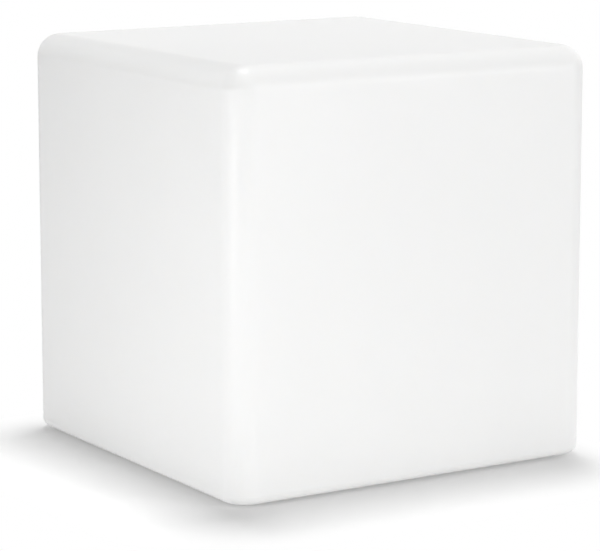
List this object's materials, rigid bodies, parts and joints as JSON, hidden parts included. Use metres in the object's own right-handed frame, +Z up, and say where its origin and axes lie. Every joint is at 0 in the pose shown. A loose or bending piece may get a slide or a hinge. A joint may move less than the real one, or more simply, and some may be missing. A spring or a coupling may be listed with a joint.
{
  "type": "cube garden light",
  "caption": "Hollow white moulded cube light for gardens and terraces, with a screw-base lamp on a bayonet carrier that twists out from below.",
  "frame": {"origin": "on the ground under the middle of the cube, at the bottom centre of its box", "axes": "+Z up along the lamp's axis, square to the top face; +Y towards the side where the supply cable's groove leaves, -Y the front"},
  "size_m": [0.4, 0.4, 0.403],
  "materials": {
    "white_polyethylene": "satin, slightly translucent, with a very fine mould texture",
    "carrier_plastic": "fine spark-eroded texture",
    "black_rubber": "matt",
    "grey_silicone": "matt, slightly translucent",
    "stainless_steel": "turned and polished",
    "zinc_plated_steel": "zinc plated, with a faint spangle",
    "brass": "turned",
    "nickel_plate": "nickel plated",
    "lamp_cap_aluminium": "rolled, bright",
    "gland_plastic": "moulded, light grey",
    "porcelain": "glazed",
    "terminal_plastic": "moulded, natural white",
    "brown_insulation": "extruded",
    "blue_insulation": "extruded",
    "lamp_plastic": "moulded, satin white",
    "opal_plastic": "frosted, translucent",
    "black_insulator": "glossy",
    "light_board": "white solder mask with yellow diodes"
  },
  "bodies": {
    "body": {"diffuser_shell": "white_polyethylene", "foot_front_left": "black_rubber", "foot_front_right": "black_rubber", "foot_back_left": "black_rubber", "foot_back_right": "black_rubber", "foot_screws": "stainless_steel", "foot_inserts": "brass", "lock_ring": "carrier_plastic", "ring_gasket": "grey_silicone", "ring_screws": "stainless_steel", "ring_inserts": "brass"},
    "carrier_lift": {"cap_seal": "grey_silicone"},
    "carrier": {"base_cap": "carrier_plastic", "gland_body": "gland_plastic", "gland_washer": "black_rubber", "gland_seal": "black_rubber", "gland_nut": "gland_plastic", "gland_locknut": "gland_plastic", "bracket": "zinc_plated_steel", "bracket_screws": "stainless_steel", "bracket_grommet": "black_rubber", "holder_body": "porcelain", "holder_screws": "stainless_steel", "holder_nuts": "zinc_plated_steel", "screw_shell": "nickel_plate", "centre_contact": "brass", "contact_rivets": "brass", "holder_terminals": "brass", "holder_clamp_screws": "nickel_plate", "holder_seal": "grey_silicone", "terminal_block": "terminal_plastic", "terminal_tubes": "brass", "terminal_screws": "nickel_plate", "block_screw": "stainless_steel", "lead_live": "brown_insulation", "lead_neutral": "blue_insulation"},
    "lamp_lift": {"bulb_tip": "nickel_plate"},
    "lamp": {"bulb_insulator": "black_insulator", "bulb_cap": "lamp_cap_aluminium", "bulb_housing": "lamp_plastic", "bulb_led_board": "light_board", "bulb_globe": "opal_plastic"}
  },
  "joints": [
    {"name": "cap_drop", "type": "slide", "parent": "body", "child": "carrier_lift", "axis": [0, 0, -1], "range_m": [0, 0.0025]},
    {"name": "cap_turn", "type": "hinge", "parent": "carrier_lift", "child": "carrier", "pos_m": [0, 0, 0.0195], "axis": [0, 0, -1], "range_deg": [0, 60]},
    {"name": "bulb_rise", "type": "slide", "parent": "carrier", "child": "lamp_lift", "axis": [0, 0, 1], "range_m": [0, 0.0156]},
    {"name": "bulb_turn", "type": "hinge", "parent": "lamp_lift", "child": "lamp", "pos_m": [0, 0, 0.0905], "axis": [0, 0, 1], "range_deg": [0, 1530]}
  ],
  "couplings": [
    {"joint": "cap_drop", "follows": "cap_turn", "m_per_rad": 0.0022918},
    {"joint": "bulb_rise", "follows": "bulb_turn", "m_per_rad": 0.00057757}
  ]
}
